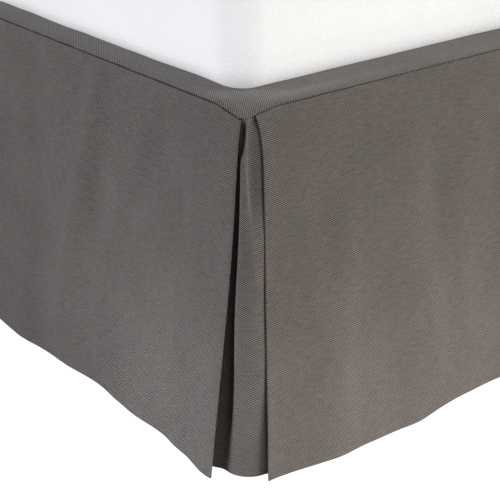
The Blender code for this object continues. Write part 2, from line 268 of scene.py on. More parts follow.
class SkirtSizes(bpy.types.PropertyGroup):
    """Sizes that shape the cloth's fine form."""

    column_pitch: bpy.props.FloatProperty(
        name="Column pitch", description="Distance between a sheet's columns", default=0.0056, unit="LENGTH"
    )
    row_pitch: bpy.props.FloatProperty(
        name="Row pitch", description="Distance between a sheet's rows", default=0.0058, unit="LENGTH"
    )
    outline_pitch: bpy.props.FloatProperty(
        name="Outline pitch", description="Distance between points round the deck", default=0.0060, unit="LENGTH"
    )
    crease: bpy.props.FloatProperty(
        name="Creases", description="Strength of the folds in the cloth", default=1.5, subtype="FACTOR"
    )
    ripple: bpy.props.FloatProperty(
        name="Ripples", description="Strength of the cloth's soft unevenness", default=1.0, subtype="FACTOR"
    )
    stitch_pitch: bpy.props.FloatProperty(
        name="Stitch pitch", description="Distance between hem stitches", default=0.0090, unit="LENGTH"
    )
    stitch_length: bpy.props.FloatProperty(
        name="Stitch length", description="Length of one hem stitch", default=0.0060, unit="LENGTH"
    )
    thread: bpy.props.FloatProperty(
        name="Thread", description="Radius of the sewing thread", default=0.00022, unit="LENGTH"
    )


class SkirtFinish(bpy.types.PropertyGroup):
    """Colours and scale of the cloths and the wood."""

    row_pitch: bpy.props.FloatProperty(
        name="Row pitch", description="Height of one row of the weave", default=0.00099, unit="LENGTH"
    )
    float_pitch: bpy.props.FloatProperty(
        name="Float pitch", description="Distance from float to float in a row", default=0.0031, unit="LENGTH"
    )
    warp: bpy.props.FloatVectorProperty(
        name="Warp", description="Colour of the lighter floats", size=3, subtype="COLOR",
        default=(0.335, 0.305, 0.290),
    )
    # The weft colour is partly the yarn's own darker tone and partly painted shade in the low parts between the
    # floats.
    weft_and_shade: bpy.props.FloatVectorProperty(
        name="Weft", description="Colour of the darker yarns between the floats", size=3, subtype="COLOR",
        default=(0.042, 0.038, 0.036),
    )
    # Painted shade: the colour that darkens the grooves between the rows of the weave.
    painted_row_shade: bpy.props.FloatVectorProperty(
        name="Hollow", description="Colour between the rows", size=3, subtype="COLOR",
        default=(0.012, 0.010, 0.010),
    )
    mattress: bpy.props.FloatVectorProperty(
        name="Mattress", description="Colour of the mattress's cover", size=3, subtype="COLOR",
        default=(0.655, 0.660, 0.675),
    )
    base: bpy.props.FloatVectorProperty(
        name="Base", description="Colour of the base's cover", size=3, subtype="COLOR",
        default=(0.430, 0.405, 0.370),
    )
    wood: bpy.props.FloatVectorProperty(
        name="Wood", description="Colour of the legs", size=3, subtype="COLOR", default=(0.420, 0.262, 0.140)
    )
    grain: bpy.props.FloatVectorProperty(
        name="Grain", description="Colour of the wood's grain lines", size=3, subtype="COLOR",
        default=(0.215, 0.118, 0.056),
    )


class StudioSettings(bpy.types.PropertyGroup):
    """The floor and the lights."""

    floor_radius: bpy.props.FloatProperty(
        name="Floor radius", description="Reach of the pale floor", default=60.0, unit="LENGTH"
    )
    floor_colour: bpy.props.FloatVectorProperty(
        name="Floor", description="Colour of the floor", size=3, subtype="COLOR", default=(0.22, 0.22, 0.22)
    )
    floor_glow: bpy.props.FloatProperty(
        name="Floor glow", description="Extra paleness of the floor where it is looked at", default=1.0
    )
    foot_power: bpy.props.FloatProperty(
        name="Foot light", description="Power of the light in front of the foot end", default=146.0, unit="POWER"
    )
    side_power: bpy.props.FloatProperty(
        name="Side light", description="Power of the light beside the long side", default=222.0, unit="POWER"
    )
    fill_power: bpy.props.FloatProperty(
        name="Fill light", description="Power of the light in front of the corner", default=16.0, unit="POWER"
    )
    back_power: bpy.props.FloatProperty(
        name="Back light", description="Power of the light behind the head end", default=200.0, unit="POWER"
    )
    foot_strip: bpy.props.FloatProperty(
        name="Foot strip", description="Power of the low strip in front of the foot end", default=0.33, unit="POWER"
    )
    side_strip: bpy.props.FloatProperty(
        name="Side strip", description="Power of the low strip beside the long side", default=0.42, unit="POWER"
    )
    sky: bpy.props.FloatProperty(
        name="Sky", description="Strength of the even light from all round", default=0.015
    )


class Value:
    """An output socket. Arithmetic on it adds Math nodes."""

    def __init__(self, paint, socket):
        self.paint = paint
        self.socket = socket

    def maths(self, operation, *others):
        return self.paint.add("ShaderNodeMath", {"operation": operation}, (self, *others))

    def __add__(self, other):
        return self.maths("ADD", other)

    def __sub__(self, other):
        return self.maths("SUBTRACT", other)

    def __mul__(self, other):
        return self.maths("MULTIPLY", other)

    def __truediv__(self, other):
        return self.maths("DIVIDE", other)

    def __pow__(self, other):
        return self.maths("POWER", other)

    def __rsub__(self, other):
        return self.paint.add("ShaderNodeMath", {"operation": "SUBTRACT"}, (other, self))

    __radd__ = __add__
    __rmul__ = __mul__


class Paint:
    """A new material and the shader nodes that make it up."""

    def __init__(self, name, **sockets):
        self.material = bpy.data.materials.new(name + "_finish")
        self.material.use_nodes = True
        self.tree = self.material.node_tree
        self.shader = self.tree.nodes["Principled BSDF"]
        for socket, value in sockets.items():
            self.shader.inputs[socket.replace("_", " ")].default_value = value

    def add(self, kind, settings=None, sockets=(), output=0):
        """Add one node: its settings first, then the values or links of its sockets."""
        node = self.tree.nodes.new(kind)
        for setting, value in (settings or {}).items():
            setattr(node, setting, value)
        pairs = sockets.items() if isinstance(sockets, dict) else enumerate(sockets)
        for key, value in pairs:
            if isinstance(value, Value):
                self.tree.links.new(value.socket, node.inputs[key])
            else:
                node.inputs[key].default_value = value
        return Value(self, node.outputs[output])

    def mix(self, first, second, factor):
        """Blend two colours."""
        colours = [colour if isinstance(colour, Value) else (*colour, 1.0) for colour in (first, second)]
        return self.add(
            "ShaderNodeMix", {"data_type": "RGBA"}, {0: factor, 6: colours[0], 7: colours[1]}, output=2
        )

    def step(self, value, low, high):
        """Rise smoothly from 0 at low to 1 at high."""
        return self.add(
            "ShaderNodeMapRange", {"interpolation_type": "SMOOTHSTEP"}, {0: value, 1: low, 2: high}
        )

    def noise(self, vector, scale, detail=2.0, roughness=0.5):
        """Read soft noise from 0 to 1."""
        return self.add(
            "ShaderNodeTexNoise", None,
            {"Vector": vector, "Scale": scale, "Detail": detail, "Roughness": roughness},
        )

    def bump(self, height, distance, normal=None):
        """Turn a height from 0 to 1 into a normal."""
        sockets = {"Height": height, "Distance": distance}
        if normal is not None:
            sockets["Normal"] = normal
        return self.add("ShaderNodeBump", None, sockets)

    def link(self, socket, value):
        """Feed one of the shader's sockets."""
        self.tree.links.new(value.socket, self.shader.inputs[socket])


def place_on_cloth(paint):
    """Read a sheet's own places across and down, in metres, as a vector and two values."""
    vector = paint.add("ShaderNodeUVMap", {"uv_map": "cloth"})
    parts = [paint.add("ShaderNodeSeparateXYZ", None, (vector,), output=axis) for axis in range(2)]
    return vector, parts[0], parts[1]


def stretched(paint, across, down, across_scale, down_scale):
    """Make a vector whose two axes have their own scales."""
    return paint.add("ShaderNodeCombineXYZ", None, (across * across_scale, down * down_scale))


def skirt_cloth(finish):
    """Weave the skirt's cloth: rows of short pale floats, staggered, with darker yarn between that is partly painted
    shade, and painted shade in the grooves between the rows.
    """
    paint = Paint("skirt_cloth", Roughness=0.88, Sheen_Weight=0.18, Sheen_Roughness=0.45)
    paint.shader.inputs["Specular IOR Level"].default_value = 0.22
    vector, across, down = place_on_cloth(paint)

    sway = paint.noise(stretched(paint, across, down, 30.0, 55.0), 1.0) - 0.5
    drift = paint.noise(stretched(paint, across, down, 42.0, 24.0), 1.0) - 0.5
    row_count = down / finish.row_pitch + drift * 0.45
    row = row_count.maths("FLOOR")
    float_count = across / finish.float_pitch + row * 0.5 + sway * 0.45
    rib = (row_count.maths("FRACT") * math.pi).maths("SINE").maths("MAXIMUM", 0.0)
    arch = (float_count * (2.0 * math.pi)).maths("SINE")
    afloat = paint.step(arch, -0.45, 0.45)
    height = rib**0.8 * (0.55 + arch * 0.45)

    slub = paint.noise(stretched(paint, across, row * 0.41, 85.0, 1.0), 1.0)
    mottle = paint.noise(vector, 11.0, detail=3.0)
    cloud = paint.noise(vector, 3.3)
    # Between the floats the weft colour is partly the yarn's own darker tone and partly painted shade.
    yarns = paint.mix(finish.weft_and_shade, finish.warp, afloat)
    # Painted shade: the row colour darkens each row towards its grooves, where the rib is low.
    woven_with_shade = paint.mix(finish.painted_row_shade, yarns, paint.step(rib, 0.0, 0.55))
    tone = 0.56 + slub * 0.62 + (mottle - 0.5) * 0.34 + (cloud - 0.5) * 0.16
    toned = paint.add("ShaderNodeVectorMath", {"operation": "SCALE"}, {0: woven_with_shade, "Scale": tone})
    paint.link("Base Color", toned)
    paint.link("Normal", paint.bump(height, 0.00022))
    return paint.material


def mattress_cloth(finish):
    """Make the white cover: a fine knit with soft unevenness, painted shade in the knit's dimples, and a painted glow
    that lifts its shaded parts.
    """
    # The emission is a painted glow that brightens the cover's shaded parts as if they were lit.
    paint = Paint("mattress_cloth", Roughness=0.82, Emission_Strength=0.36)
    paint.shader.inputs["Specular IOR Level"].default_value = 0.25
    place = paint.add("ShaderNodeTexCoord", output=3)
    knit = paint.add(
        "ShaderNodeTexVoronoi", {"feature": "SMOOTH_F1"}, {"Vector": place, "Scale": 420.0, "Smoothness": 0.6}
    )
    cloud = paint.noise(place, 9.0, detail=3.0)
    # Painted shade in the knit's dimples, where the knit is low, together with random cloudy tone.
    dimple_shade_and_tone = tuple(channel * 0.93 for channel in finish.mattress)
    paint.link("Base Color", paint.mix(dimple_shade_and_tone, finish.mattress, paint.step(cloud + knit * 0.35, 0.35, 0.85)))
    # White colour of the painted glow.
    paint.shader.inputs["Emission Color"].default_value = (0.97, 0.98, 1.0, 1.0)
    soft = paint.bump(cloud, 0.004)
    paint.link("Normal", paint.bump(knit, 0.0004, normal=soft))
    return paint.material


def base_cloth(finish):
    """Weave the base's plain cover."""
    paint = Paint("base_cloth", Roughness=0.86, Sheen_Weight=0.10)
    place = paint.add("ShaderNodeTexCoord", output=3)
    parts = [paint.add("ShaderNodeSeparateXYZ", None, (place,), output=axis) for axis in range(3)]
    across = (parts[0] + parts[1]) * (2.0 * math.pi / 0.0026)
    up = parts[2] * (2.0 * math.pi / 0.0026)
    thread = across.maths("SINE") * up.maths("SINE") * 0.5 + 0.5
    fleck = paint.noise(place, 160.0)
    # The darker colour is painted shade in the low parts of the cover's weave, mixed with random flecks.
    dark = tuple(channel * 0.62 for channel in finish.base)
    paint.link("Base Color", paint.mix(dark, finish.base, paint.step(thread * 0.6 + fleck * 0.6, 0.20, 0.90)))
    paint.link("Normal", paint.bump(thread, 0.0003))
    return paint.material


def leg_wood(finish):
    """Grain the legs along their length, under a satin varnish."""
    paint = Paint("leg_wood", Roughness=0.42, Coat_Weight=0.25, Coat_Roughness=0.30)
    place = paint.add("ShaderNodeTexCoord", output=3)
    long_way = paint.add("ShaderNodeMapping", None, {"Vector": place, "Scale": (70.0, 70.0, 5.0)})
    rings = paint.noise(long_way, 1.0, detail=4.0, roughness=0.6)
    pores = paint.noise(paint.add("ShaderNodeMapping", None, {"Vector": place, "Scale": (900.0, 900.0, 30.0)}), 1.0)
    lines = (rings * 9.0).maths("FRACT")
    grain = paint.step(lines, 0.15, 0.85) * 0.6 + paint.step(pores, 0.35, 0.75) * 0.4
    paint.link("Base Color", paint.mix(finish.grain, finish.wood, grain))
    paint.link("Roughness", 0.52 - grain * 0.14)
    paint.link("Normal", paint.bump(grain, 0.0001))
    return paint.material


def thread_fibre(finish):
    """Twist the sewing thread."""
    paint = Paint("thread_fibre", Roughness=0.55, Sheen_Weight=0.2)
    place = paint.add("ShaderNodeTexCoord", output=3)
    parts = [paint.add("ShaderNodeSeparateXYZ", None, (place,), output=axis) for axis in range(3)]
    twist = ((parts[0] + parts[1] + parts[2]) * (2.0 * math.pi / 0.0006)).maths("SINE") * 0.5 + 0.5
    # The darker colour is painted shade in the grooves of the twist.
    dark = tuple(channel * 0.45 for channel in finish.warp)
    paint.link("Base Color", paint.mix(dark, finish.warp, twist))
    paint.link("Normal", paint.bump(twist, 0.0001))
    return paint.material


def floor_paint(studio):
    """Make the pale floor's even paint, a little uneven in its colour."""
    paint = Paint("floor_paint", Roughness=0.9)
    paint.shader.inputs["Specular IOR Level"].default_value = 0.1
    place = paint.add("ShaderNodeTexCoord", output=3)
    cloud = paint.noise(place, 1.5)
    pale = tuple(channel * 0.985 for channel in studio.floor_colour)
    paint.link("Base Color", paint.mix(pale, studio.floor_colour, cloud))
    paint.shader.inputs["Emission Strength"].default_value = studio.floor_glow
    seen = paint.add("ShaderNodeLightPath")
    paint.link("Emission Color", paint.mix((0.0, 0.0, 0.0), (1.0, 1.0, 1.0), seen))
    return paint.material


def material(name):
    """Give a finish by name, made when it is first asked for."""
    made = bpy.data.materials.get(name + "_finish")
    if made is not None:
        return made
    scene = bpy.context.scene
    makers = {
        "skirt_cloth": (skirt_cloth, scene.skirt_finish),
        "mattress_cloth": (mattress_cloth, scene.skirt_finish),
        "base_cloth": (base_cloth, scene.skirt_finish),
        "leg_wood": (leg_wood, scene.skirt_finish),
        "thread_fibre": (thread_fibre, scene.skirt_finish),
        "floor_paint": (floor_paint, scene.studio_settings),
    }
    maker, settings = makers[name]
    return maker(settings)


def smooth(values, low, high):
    """Rise smoothly from 0 at low to 1 at high."""
    part = np.clip((np.asarray(values, float) - low) / (high - low), 0.0, 1.0)
    return part * part * (3.0 - 2.0 * part)


def turn_drop(inset):
    """How far the deck's edge has turned down at a distance in from its outline."""
    part = 1.0 - np.clip(inset, 0.0, DECK_TURN_WIDTH) / DECK_TURN_WIDTH
    return DECK_TURN_DROP * part**2


def deck_top(from_side, from_foot):
    """Height of the deck's upper face at distances in from the side's and the foot's seam."""
    side = turn_drop(from_side)
    foot = turn_drop(from_foot)
    distance = np.sqrt(from_side**2 + from_foot**2 + CORNER_SAG_TIP**2) - CORNER_SAG_TIP
    nearness = np.clip(1.0 - distance / CORNER_SAG_REACH, 0.0, None)
    return DECK_HEIGHT - np.cbrt(side**3 + foot**3) - CORNER_SAG * nearness**CORNER_SAG_POWER


def outline_recess(along):
    """How far the deck's round corner lies inside the seam's straight line."""
    inside = DECK_CORNER - np.clip(along, 0.0, DECK_CORNER)
    return DECK_CORNER - np.sqrt(DECK_CORNER**2 - inside**2)


def rippled(ripples, along, down):
    """Add up soft waves that run across a sheet."""
    total = 0.0
    for ripple in ripples:
        total = total + ripple.lift * np.sin(2.0 * math.pi * (along / ripple.along + down / ripple.down) + ripple.turn)
    return total


def folded(folds, along, down):
    """Add up the creases of a sheet, each a soft ridge or trough along a line."""
    total = 0.0
    for fold in folds:
        way = np.array((fold.to_along - fold.along, fold.to_down - fold.down))
        length = np.linalg.norm(way)
        way = way / length
        run = (along - fold.along) * way[0] + (down - fold.down) * way[1]
        aside = (along - fold.along) * way[1] - (down - fold.down) * way[0]
        taper = smooth(run, -0.25 * length, 0.30 * length) * smooth(-run, -1.25 * length, -0.70 * length)
        total = total + fold.lift * taper * np.exp(-((aside / fold.half_width) ** 2))
    return total


def relief(folds, along, down, sizes):
    """How far the fine form stands out from the solid's broad one."""
    held = smooth(down, 0.0, SEAM_HOLD)
    fine = folded(folds, along, down) * sizes.crease + rippled(RIPPLES, along, down) * sizes.ripple
    pucker = rippled(PUCKERS, along, 0.0 * down) * np.exp(-down / PUCKER_REACH) * smooth(down, 0.0, 0.003)
    return fine * held + pucker * sizes.ripple


def panel_out(drop, along, depth):
    """How far a drop panel stands out from the seam's plane."""
    out = drop.flare * depth**drop.power
    for wave in drop.waves:
        out = out + wave.outward * np.exp(-(((along - wave.along) / wave.half_width) ** 2)) * depth**drop.power
    return out


def edge_draw(edge, power, distance, depth):
    """How far a panel's cloth is drawn back at a distance from its free edge."""
    slant = edge.slant * (1.0 - np.exp(-depth / SLANT_DEPTH)) * (1.0 - depth)
    return (edge.draw_back * depth**power + slant) * np.exp(-distance / EDGE_FADE)


def divided(length, pitch, near_marks, far_marks):
    """Divide a length evenly between close marks at both ends."""
    low = near_marks[-1]
    high = length - far_marks[-1]
    count = math.ceil((high - low) / pitch)
    middle = np.linspace(low, high, count + 1)[1:-1]
    return np.concatenate((near_marks, middle, length - np.array(far_marks[::-1])))


def new_piece(name, vertices, faces, finish_name, cloth_places=None):
    """Make a smooth object whose faces point out, at the origin."""
    mesh = bpy.data.meshes.new(name)
    mesh.from_pydata(vertices, [], faces)
    if cloth_places is not None:
        layer = mesh.uv_layers.new(name="cloth")
        corners = np.empty(len(mesh.loops), dtype=np.int32)
        mesh.loops.foreach_get("vertex_index", corners)
        layer.data.foreach_set("uv", np.asarray(cloth_places, dtype=np.float32)[corners].ravel())
    shape = bmesh.new()
    shape.from_mesh(mesh)
    bmesh.ops.recalc_face_normals(shape, faces=shape.faces)
    shape.to_mesh(mesh)
    shape.free()
    mesh.materials.append(material(finish_name))
    mesh.shade_smooth()
    piece = bpy.data.objects.new(name, mesh)
    bpy.context.collection.objects.link(piece)
    return piece


def round_side(outer, inner, places, edge, neighbour):
    """Give the extra columns that round one side edge of a sheet over."""
    middle = (outer[edge] + inner[edge]) / 2.0
    half = (outer[edge] - inner[edge]) / 2.0
    away = middle - (outer[neighbour] + inner[neighbour]) / 2.0
    away /= np.linalg.norm(away, axis=1, keepdims=True)
    reach = np.linalg.norm(half, axis=1, keepdims=True)
    columns = []
    for angle in SIDE_ANGLES:
        centre = middle + away * reach * math.sin(angle)
        columns.append((centre + half * math.cos(angle), centre - half * math.cos(angle), places[edge]))
    return columns


def round_rim(outer, inner, row, neighbour):
    """Give the points that round the upper or lower rim of a sheet over, column by column."""
    middle = (outer[:, row] + inner[:, row]) / 2.0
    half = (outer[:, row] - inner[:, row]) / 2.0
    away = middle - (outer[:, neighbour] + inner[:, neighbour]) / 2.0
    away /= np.linalg.norm(away, axis=1, keepdims=True)
    reach = np.linalg.norm(half, axis=1, keepdims=True)
    reach = reach * RIM_REACH
    return [middle + half * math.cos(angle) + away * reach * math.sin(angle) for angle in RIM_ANGLES]


def sheet_piece(name, outer, inner, places):
    """Close two skins, arrays of columns by rows by 3, into one sheet with round edges."""
    before = round_side(outer, inner, places, 0, 1)[::-1]
    after = round_side(outer, inner, places, -1, -2)
    outer = np.concatenate(([c[0] for c in before], outer, [c[0] for c in after]))
    inner = np.concatenate(([c[1] for c in before], inner, [c[1] for c in after]))
    places = np.concatenate(([c[2] for c in before], places, [c[2] for c in after]))
    columns, rows = outer.shape[:2]

    hem = np.stack(round_rim(outer, inner, -1, -2), axis=1)
    top = np.stack(round_rim(outer, inner, 0, 1)[::-1], axis=1)
    ring = np.concatenate((outer, hem, inner[:, ::-1], top), axis=1)
    hem_places = np.repeat(places[:, -1:], len(RIM_ANGLES), axis=1)
    top_places = np.repeat(places[:, :1], len(RIM_ANGLES), axis=1)
    ring_places = np.concatenate((places, hem_places, places[:, ::-1], top_places), axis=1)

    count = ring.shape[1]
    column, step = np.meshgrid(np.arange(columns - 1), np.arange(count), indexing="ij")
    first = column * count + step
    second = column * count + (step + 1) % count
    faces = np.stack((first, second, second + count, first + count), axis=-1).reshape(-1, 4).tolist()
    last_inner = 2 * rows + len(RIM_ANGLES) - 1
    for start in (0, (columns - 1) * count):
        for row in range(rows - 1):
            inner_row = last_inner - row
            faces.append([start + row, start + row + 1, start + inner_row - 1, start + inner_row])
        faces.append([start + k for k in range(rows - 1, rows + len(RIM_ANGLES) + 1)])
        faces.append([start + k % count for k in range(last_inner, count + 1)])
    return new_piece(name, ring.reshape(-1, 3).tolist(), faces, "skirt_cloth", ring_places.reshape(-1, 2))


def ring_piece(name, rings, finish_name, flat_places=False):
    """Close a stack of rings of equal length with a face at each end."""
    rings = np.asarray(rings)
    levels, count = rings.shape[:2]
    level, step = np.meshgrid(np.arange(levels - 1), np.arange(count), indexing="ij")
    first = level * count + step
    second = level * count + (step + 1) % count
    faces = np.stack((first, second, second + count, first + count), axis=-1).reshape(-1, 4).tolist()
    faces.append(list(range(count)))
    faces.append(list(range((levels - 1) * count, levels * count)))
    points = rings.reshape(-1, 3)
    places = points[:, :2] - (CENTRE_X - SIDE_X, FOOT_Y) if flat_places else None
    return new_piece(name, points.tolist(), faces, finish_name, places)


def outline(low, high, radius, arc_steps, side_steps):
    """Give the points of a rectangle with round corners, counter-clockwise from the +X side."""
    centres = (
        (high[0] - radius, high[1] - radius),
        (low[0] + radius, high[1] - radius),
        (low[0] + radius, low[1] + radius),
        (high[0] - radius, low[1] + radius),
    )
    arcs = []
    for corner, centre in enumerate(centres):
        angles = math.radians(90.0) * (corner + np.arange(arc_steps + 1) / arc_steps)
        arcs.append(np.stack((centre[0] + radius * np.cos(angles), centre[1] + radius * np.sin(angles)), axis=1))
    points = []
    for number, arc in enumerate(arcs):
        following = arcs[(number + 1) % 4]
        parts = np.arange(1, side_steps[number]) / side_steps[number]
        points.append(arc)
        points.append(arc[-1] + (following[0] - arc[-1]) * parts[:, None])
    return np.concatenate(points)


def side_counts(low, high, pitch):
    """Give how many steps each side of an outline has."""
    wide = math.ceil((high[0] - low[0]) / pitch)
    long = math.ceil((high[1] - low[1]) / pitch)
    return (wide, long, wide, long)


def level_ring(points, height):
    """Raise the points of an outline to a height, or to a height each."""
    return np.concatenate((points, np.broadcast_to(height, len(points))[:, None]), axis=1)


def dress(piece, nodes):
    """Let a piece ride on the bed and stand for its solids."""
    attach(piece, BODY)
    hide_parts(*nodes)
    return piece


DECK_INSETS = (0.0014, 0.0022, 0.0034, 0.0050, 0.0070, 0.0095, 0.0125, 0.0160, 0.0200, 0.0250, 0.0310, 0.0380,
               0.0460, 0.0560, 0.0700, 0.0950, 0.1400, 0.2100, 0.3000, 0.4000, 0.4700)


def deck_ring(inset, below, counts, sizes):
    """Give one ring of the deck, a distance in from its outline and below its upper face."""
    low = (CENTRE_X - SIDE_X + inset, FOOT_Y + inset)
    high = (CENTRE_X + SIDE_X - inset, FOOT_Y + SIDE_LENGTH - inset)
    radius = DECK_CORNER + DECK_CORNER_GROWTH * min(inset, 0.036)
    points = outline(low, high, radius, 12, counts)
    from_side = SIDE_X - np.abs(points[:, 0] - CENTRE_X)
    from_foot = points[:, 1] - FOOT_Y
    free = smooth(-inset, -0.020, -0.010) * smooth(inset, 0.0, 0.004)
    uneven = rippled(RIPPLES, points[:, 0], points[:, 1]) * 0.5 * free * sizes.ripple
    return level_ring(points, deck_top(from_side, from_foot) - below + uneven)


class BEDSKIRT_OT_deck(bpy.types.Operator):
    """Lay the deck on the base, its edge turned down to the seam on three sides"""

    bl_idname = "bed_skirt.deck"
    bl_label = "Lay Deck"

    def execute(self, context):
        sizes = context.scene.skirt_sizes
        counts = side_counts(DECK_LOW, DECK_HIGH, sizes.outline_pitch)
        half = CLOTH / 2.0
        rings = [deck_ring(inset, 0.0, counts, sizes) for inset in reversed(DECK_INSETS)]
        for step in range(9):
            angle = math.pi * step / 8
            rings.append(deck_ring(half * (1.0 - math.sin(angle)), half * (1.0 - math.cos(angle)), counts, sizes))
        rings += [deck_ring(inset, CLOTH, counts, sizes) for inset in DECK_INSETS]
        piece = ring_piece("deck_cloth", rings, "skirt_cloth", flat_places=True)
        dress(piece, ["deck"])
        return {"FINISHED"}


def hang_panel(name, drop, corner, along_way, out_way, length, sizes):
    """Hang one drop panel from the deck's edge."""
    near, far = drop.edges
    half = CLOTH / 2.0
    along = divided(length - near.start - far.start - CLOTH, sizes.column_pitch, EDGE_MARKS, EDGE_MARKS)
    along = (near.start + half + along)[:, None]
    down = divided(DROP_LENGTH - CLOTH, sizes.row_pitch, SEAM_MARKS, HEM_MARKS)[None, :]
    depth = down / (DROP_LENGTH - CLOTH)

    placed = along + edge_draw(near, drop.power, along - near.start, depth)
    placed = placed - edge_draw(far, drop.power, length - far.start - along, depth)
    nearest = np.minimum(along, length - along)
    from_foot = along if abs(out_way.x) > 0.5 else np.full_like(along, half)
    from_side = nearest if abs(out_way.y) > 0.5 else np.full_like(along, half)
    top = deck_top(from_side, from_foot) - CLOTH - SEAM_GAP - half * RIM_REACH
    hem = HEM_CLEARANCE - HEM_DIP * np.exp(-nearest / EDGE_FADE) + half * RIM_REACH
    height = top + (hem - top) * depth
    out = panel_out(drop, along, depth) - outline_recess(nearest) * (1.0 - depth)
    out = out + relief(drop.folds, along, down, sizes)

    turned_hem = HEM_EXTRA * smooth(down, DROP_LENGTH - HEM_DEPTH, DROP_LENGTH - HEM_DEPTH + TURN_STEP)
    from_edge = np.minimum(along - near.start, length - far.start - along)
    turned_edge = EDGE_EXTRA * smooth(-from_edge, -EDGE_TURN - TURN_STEP, -EDGE_TURN) * smooth(depth, 0.10, 0.40)
    inward = CLOTH + np.maximum(turned_hem, turned_edge)
    for edge, distance in ((near, along - near.start), (far, length - far.start - along)):
        inward = inward * (edge.tip + (1.0 - edge.tip) * smooth(distance, 0.0, EDGE_PRESS))

    skins = []
    for shift in (0.0, inward):
        spread = out - shift
        skins.append(np.stack([
            corner[axis] + along_way[axis] * placed + out_way[axis] * spread + (height if axis == 2 else 0.0)
            for axis in range(3)
        ], axis=-1))
    places = np.stack(np.broadcast_arrays(along, down), axis=-1)
    return sheet_piece(name, skins[0], skins[1], places)


Panel = namedtuple("Panel", "node drop side_sign along_way out_way length")
PANELS = (
    Panel("foot_panel", FOOT_DROP, 1.0, Vector((-1.0, 0.0, 0.0)), Vector((0.0, -1.0, 0.0)), BED_WIDTH),
    Panel("side_panel_right", RIGHT_DROP, 1.0, Vector((0.0, 1.0, 0.0)), Vector((1.0, 0.0, 0.0)), SIDE_LENGTH),
    Panel("side_panel_left", LEFT_DROP, -1.0, Vector((0.0, 1.0, 0.0)), Vector((-1.0, 0.0, 0.0)), SIDE_LENGTH),
)


class BEDSKIRT_OT_drop_panels(bpy.types.Operator):
    """Hang the three drop panels from the deck's edge"""

    bl_idname = "bed_skirt.drop_panels"
    bl_label = "Hang Drop Panels"

    def execute(self, context):
        sizes = context.scene.skirt_sizes
        for panel in PANELS:
            corner = Vector((CENTRE_X + panel.side_sign * SIDE_X, FOOT_Y, 0.0))
            name = panel.node + "_cloth"
            piece = hang_panel(name, panel.drop, corner, panel.along_way, panel.out_way, panel.length, sizes)
            dress(piece, [panel.node])
        return {"FINISHED"}


def underlay_swell(along, depth):
    """How far an underlay swells out, a distance along it from its corner's middle."""
    out = 0.0
    for swell in UNDERLAY_SWELLS:
        across = (along - swell.along) / swell.half_width
        below = (depth - swell.depth) / swell.half_depth
        out = out + swell.outward * np.exp(-(across**2) - below**2)
    return out


def underlay_plan(depth, inward, path):
    """Give an underlay's distances in from the side's and the foot's seam, at one depth.

    The path runs from 0 at the end of the foot wing, over 1 and 2 at the ends of the round
    corner, to 3 at the end of the side wing.
    """
    growth = depth**UNDERLAY_POWER
    start = -(CLOTH + LAYER_GAP)
    out = start + (UNDERLAY_HEM_OUT - start) * growth
    radius = UNDERLAY_TOP_RADIUS + (UNDERLAY_HEM_RADIUS - UNDERLAY_TOP_RADIUS) * growth
    tangent = radius - out
    angle = math.radians(90.0) * np.clip(path - 1.0, 0.0, 1.0)
    first_wing = (WING - tangent) * np.clip(1.0 - path, 0.0, 1.0)
    second_wing = (WING - tangent) * np.clip(path - 2.0, 0.0, 1.0)
    along = radius * (angle - math.radians(45.0)) + second_wing - first_wing
    reach = radius - inward + underlay_swell(along, depth)
    from_side = tangent - reach * np.sin(angle) + first_wing
    from_foot = tangent - reach * np.cos(angle) + second_wing
    return from_side, from_foot


def hang_underlay(name, side_sign, sizes):
    """Hang the underlay behind the split at one foot corner."""
    half = CLOTH / 2.0
    wing_marks = np.linspace(0.0, 1.0, 31)
    path = np.concatenate((wing_marks, 1.0 + np.linspace(0.0, 1.0, 33)[1:], 2.0 + wing_marks[1:]))[:, None]
    down = divided(DROP_LENGTH - CLOTH, sizes.row_pitch, SEAM_MARKS, HEM_MARKS)[None, :]
    depth = down / (DROP_LENGTH - CLOTH)
    top_side, top_foot = underlay_plan(0.0 * depth, 0.0, path)
    top = deck_top(top_side, top_foot) - CLOTH - SEAM_GAP - half * RIM_REACH
    hem = HEM_CLEARANCE + HEM_DIP + half * RIM_REACH
    height = top + (hem - top) * depth

    middle_side, middle_foot = underlay_plan(np.full_like(depth, 0.5), 0.0, path)
    steps = np.hypot(np.diff(middle_side[:, 0]), np.diff(middle_foot[:, 0]))
    across = np.concatenate(([0.0], np.cumsum(steps)))[:, None]
    dent = folded(UNDERLAY_DENTS, across, down) * smooth(down, 0.0, DENT_HOLD)
    fine = relief(UNDERLAY_FOLDS, across, down, sizes) + dent * sizes.crease
    turned_hem = HEM_EXTRA * smooth(down, DROP_LENGTH - HEM_DEPTH, DROP_LENGTH - HEM_DEPTH + TURN_STEP)

    skins = []
    for inward in (0.0, CLOTH + turned_hem):
        from_side, from_foot = underlay_plan(depth, inward - fine, path)
        skins.append(np.stack((
            CENTRE_X + side_sign * (SIDE_X - from_side), FOOT_Y + from_foot, np.broadcast_to(height, from_side.shape)
        ), axis=-1))
    places = np.stack(np.broadcast_arrays(across, down), axis=-1)
    piece = sheet_piece(name, skins[0], skins[1], places)
    return piece, float(across[-1, 0])


class BEDSKIRT_OT_underlays(bpy.types.Operator):
    """Hang the underlays behind the splits at the foot corners"""

    bl_idname = "bed_skirt.underlays"
    bl_label = "Hang Underlays"

    def execute(self, context):
        for side_name, side_sign in (("right", 1.0), ("left", -1.0)):
            node = "corner_underlay_" + side_name
            piece, width = hang_underlay(node + "_cloth", side_sign, context.scene.skirt_sizes)
            dress(piece, [node])
        return {"FINISHED"}


